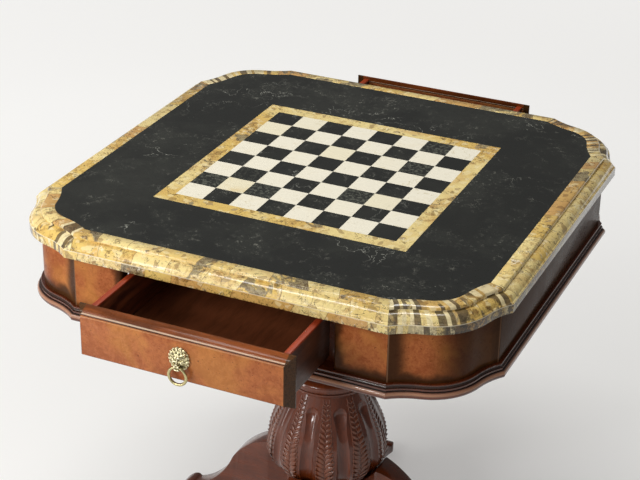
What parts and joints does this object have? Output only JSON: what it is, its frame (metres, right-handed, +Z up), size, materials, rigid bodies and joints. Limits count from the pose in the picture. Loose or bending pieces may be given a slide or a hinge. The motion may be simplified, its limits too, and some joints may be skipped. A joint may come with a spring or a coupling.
{
  "type": "chess table",
  "caption": "Square pedestal game table with an inlaid stone chessboard, a moulded serpentine stone edge and a drawer with a ring pull at front and back.",
  "frame": {"origin": "on the floor under the centre of the board", "axes": "+Z up, the front drawer opens towards -Y, +X to the right of someone facing the front drawer"},
  "size_m": [0.8656, 1.1548, 0.762],
  "materials": {
    "black_marble": "polished dark marble with faint pale veins",
    "cream_marble": "polished cream marble",
    "ochre_marble": "polished ochre fossil marble in small joined pieces",
    "burl": "lacquered burl veneer",
    "cherry": "dark lacquered cherry",
    "drawer_wood": "stained and sealed",
    "core_board": "plywood",
    "brass": "aged, lacquered",
    "steel": "zinc plated",
    "felt": "dense felt"
  },
  "bodies": {
    "table": {"top_core": "core_board", "field_slab": "black_marble", "board_border": "ochre_marble", "dark_squares": "black_marble", "light_squares": "cream_marble", "edge_back": "ochre_marble", "edge_left": "ochre_marble", "edge_front": "ochre_marble", "edge_right": "ochre_marble", "edge_corners": "ochre_marble", "frieze_left": "burl", "frieze_right": "burl", "frieze_front_left": "burl", "frieze_front_right": "burl", "frieze_back_left": "burl", "frieze_back_right": "burl", "corner_block_back_right": "burl", "corner_block_back_left": "burl", "corner_block_front_left": "burl", "corner_block_front_right": "burl", "moulding_back": "cherry", "moulding_left": "cherry", "moulding_front": "cherry", "moulding_right": "cherry", "moulding_corners": "cherry", "drawer_rail_front": "drawer_wood", "drawer_rail_back": "drawer_wood", "bearer_front": "drawer_wood", "bearer_back": "drawer_wood", "runner_right": "drawer_wood", "runner_left": "drawer_wood", "centre_divider": "drawer_wood", "kickers": "drawer_wood", "mounting_plate": "drawer_wood", "column": "cherry", "baluster": "cherry", "hub": "cherry", "leg_right": "cherry", "leg_back": "cherry", "leg_left": "cherry", "leg_front": "cherry", "glides": "felt", "spider_plate": "steel", "tie_rod": "steel", "wood_screws": "steel"},
    "front_drawer": {"front_drawer_front": "burl", "front_drawer_side_left": "drawer_wood", "front_drawer_side_right": "drawer_wood", "front_drawer_back": "drawer_wood", "front_drawer_floor": "drawer_wood", "front_lion_mask": "brass"},
    "back_drawer": {"back_drawer_front": "burl", "back_drawer_side_left": "drawer_wood", "back_drawer_side_right": "drawer_wood", "back_drawer_back": "drawer_wood", "back_drawer_floor": "drawer_wood", "back_lion_mask": "brass"},
    "front_ring": {"front_pull_ring": "brass"},
    "back_ring": {"back_pull_ring": "brass"}
  },
  "joints": [
    {"name": "front_drawer_slide", "type": "slide", "parent": "table", "child": "front_drawer", "axis": [0, -1, 0], "range_m": [-0.15, 0.15]},
    {"name": "back_drawer_slide", "type": "slide", "parent": "table", "child": "back_drawer", "axis": [0, 1, 0], "range_m": [-0.15, 0.15]},
    {"name": "front_ring_hinge", "type": "hinge", "parent": "front_drawer", "child": "front_ring", "pos_m": [0, -0.5714, 0.66886], "axis": [-1, 0, 0], "range_deg": [-8, 110]},
    {"name": "back_ring_hinge", "type": "hinge", "parent": "back_drawer", "child": "back_ring", "pos_m": [0, 0.5714, 0.66886], "axis": [1, 0, 0], "range_deg": [-8, 110]}
  ]
}
